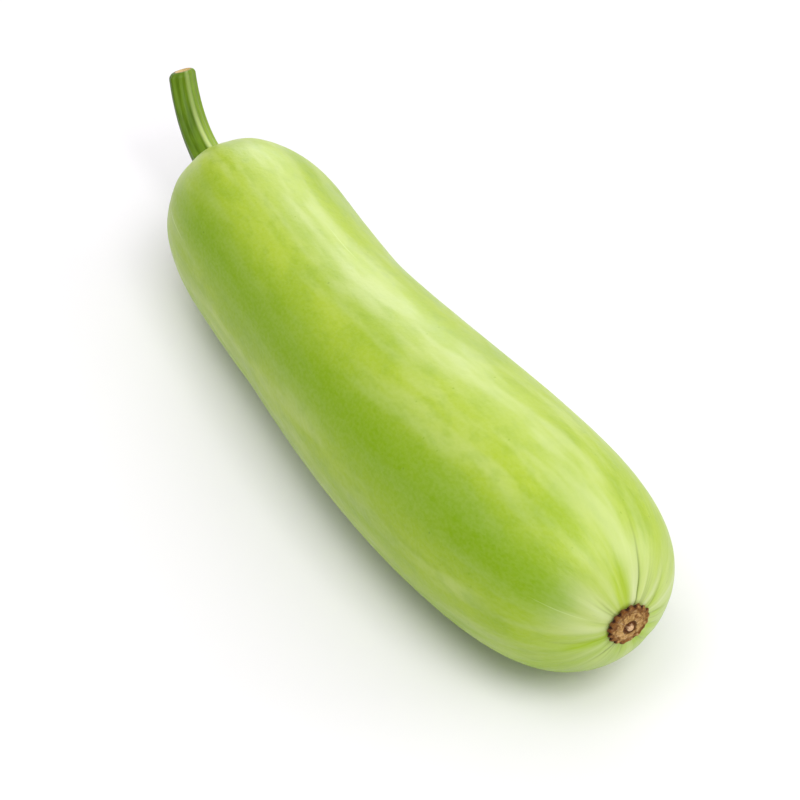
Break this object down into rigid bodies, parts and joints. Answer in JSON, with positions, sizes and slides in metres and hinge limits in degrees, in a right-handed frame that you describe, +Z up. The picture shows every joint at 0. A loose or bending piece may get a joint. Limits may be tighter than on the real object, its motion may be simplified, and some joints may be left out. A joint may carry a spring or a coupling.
{
  "type": "bottle gourd",
  "caption": "Long pale green bottle gourd lying on its side, with a slight bend, a curved ribbed stalk and a round corky blossom scar with creases drawn in round it.",
  "frame": {"origin": "centre of the bounding box, on the surface that the gourd lies on", "axes": "+Z up, +X along the gourd towards its blossom end, with the stalk at -X"},
  "size_m": [0.3474, 0.087, 0.0832],
  "materials": {
    "rind": "smooth waxy rind, semi-gloss, with faint lengthwise streaks",
    "stalk_skin": "fibrous green stalk, satin, with a dry tan cut",
    "cork": "dry corky tissue, matte"
  },
  "bodies": {
    "root": {"fruit": "rind", "stalk": "stalk_skin", "blossom_scar": "cork"}
  },
  "joints": []
}
